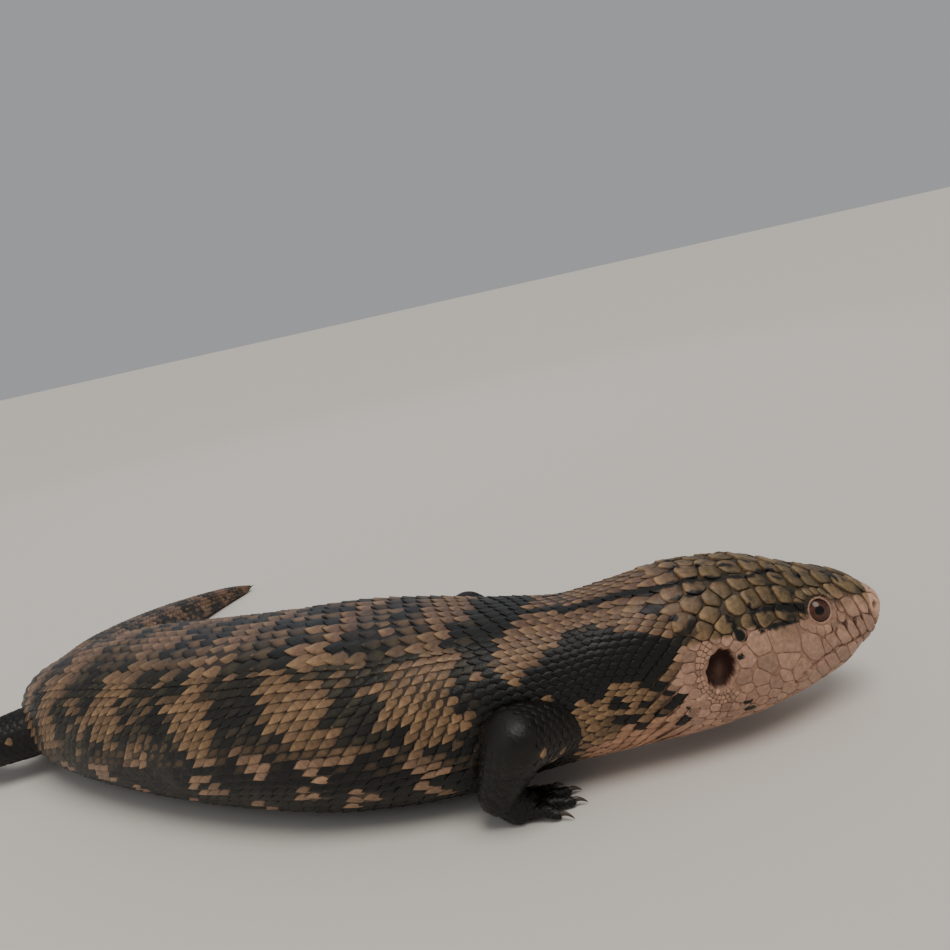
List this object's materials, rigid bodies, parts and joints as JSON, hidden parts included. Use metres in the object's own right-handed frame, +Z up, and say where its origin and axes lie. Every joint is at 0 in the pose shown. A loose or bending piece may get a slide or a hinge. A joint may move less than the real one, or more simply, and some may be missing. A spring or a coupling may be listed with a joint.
{
  "type": "blue tongued skink",
  "caption": "Life-size still model of a blotched blue tongued skink lying on its belly, body curved and head slightly raised.",
  "frame": {"origin": "on the floor, on the flat under the middle of the belly", "axes": "+X towards the snout along the front of the body, +Y towards the left flank, +Z up"},
  "size_m": [0.3028, 0.2774, 0.0463],
  "materials": {
    "body_skin": "satin",
    "head_skin": "satin",
    "limb_skin": "satin",
    "eye": "gloss"
  },
  "bodies": {
    "root": {"head": "head_skin", "eye_right": "eye", "eye_left": "eye", "neck": "body_skin", "forebody": "body_skin", "hindbody": "body_skin", "tail_base": "body_skin", "tail_middle": "body_skin", "tail_tip": "body_skin", "foreleg_right": "limb_skin", "forefoot_right": "limb_skin", "foreleg_left": "limb_skin", "forefoot_left": "limb_skin", "hindleg_right": "limb_skin", "hindfoot_right": "limb_skin", "hindleg_left": "limb_skin", "hindfoot_left": "limb_skin"}
  },
  "joints": []
}
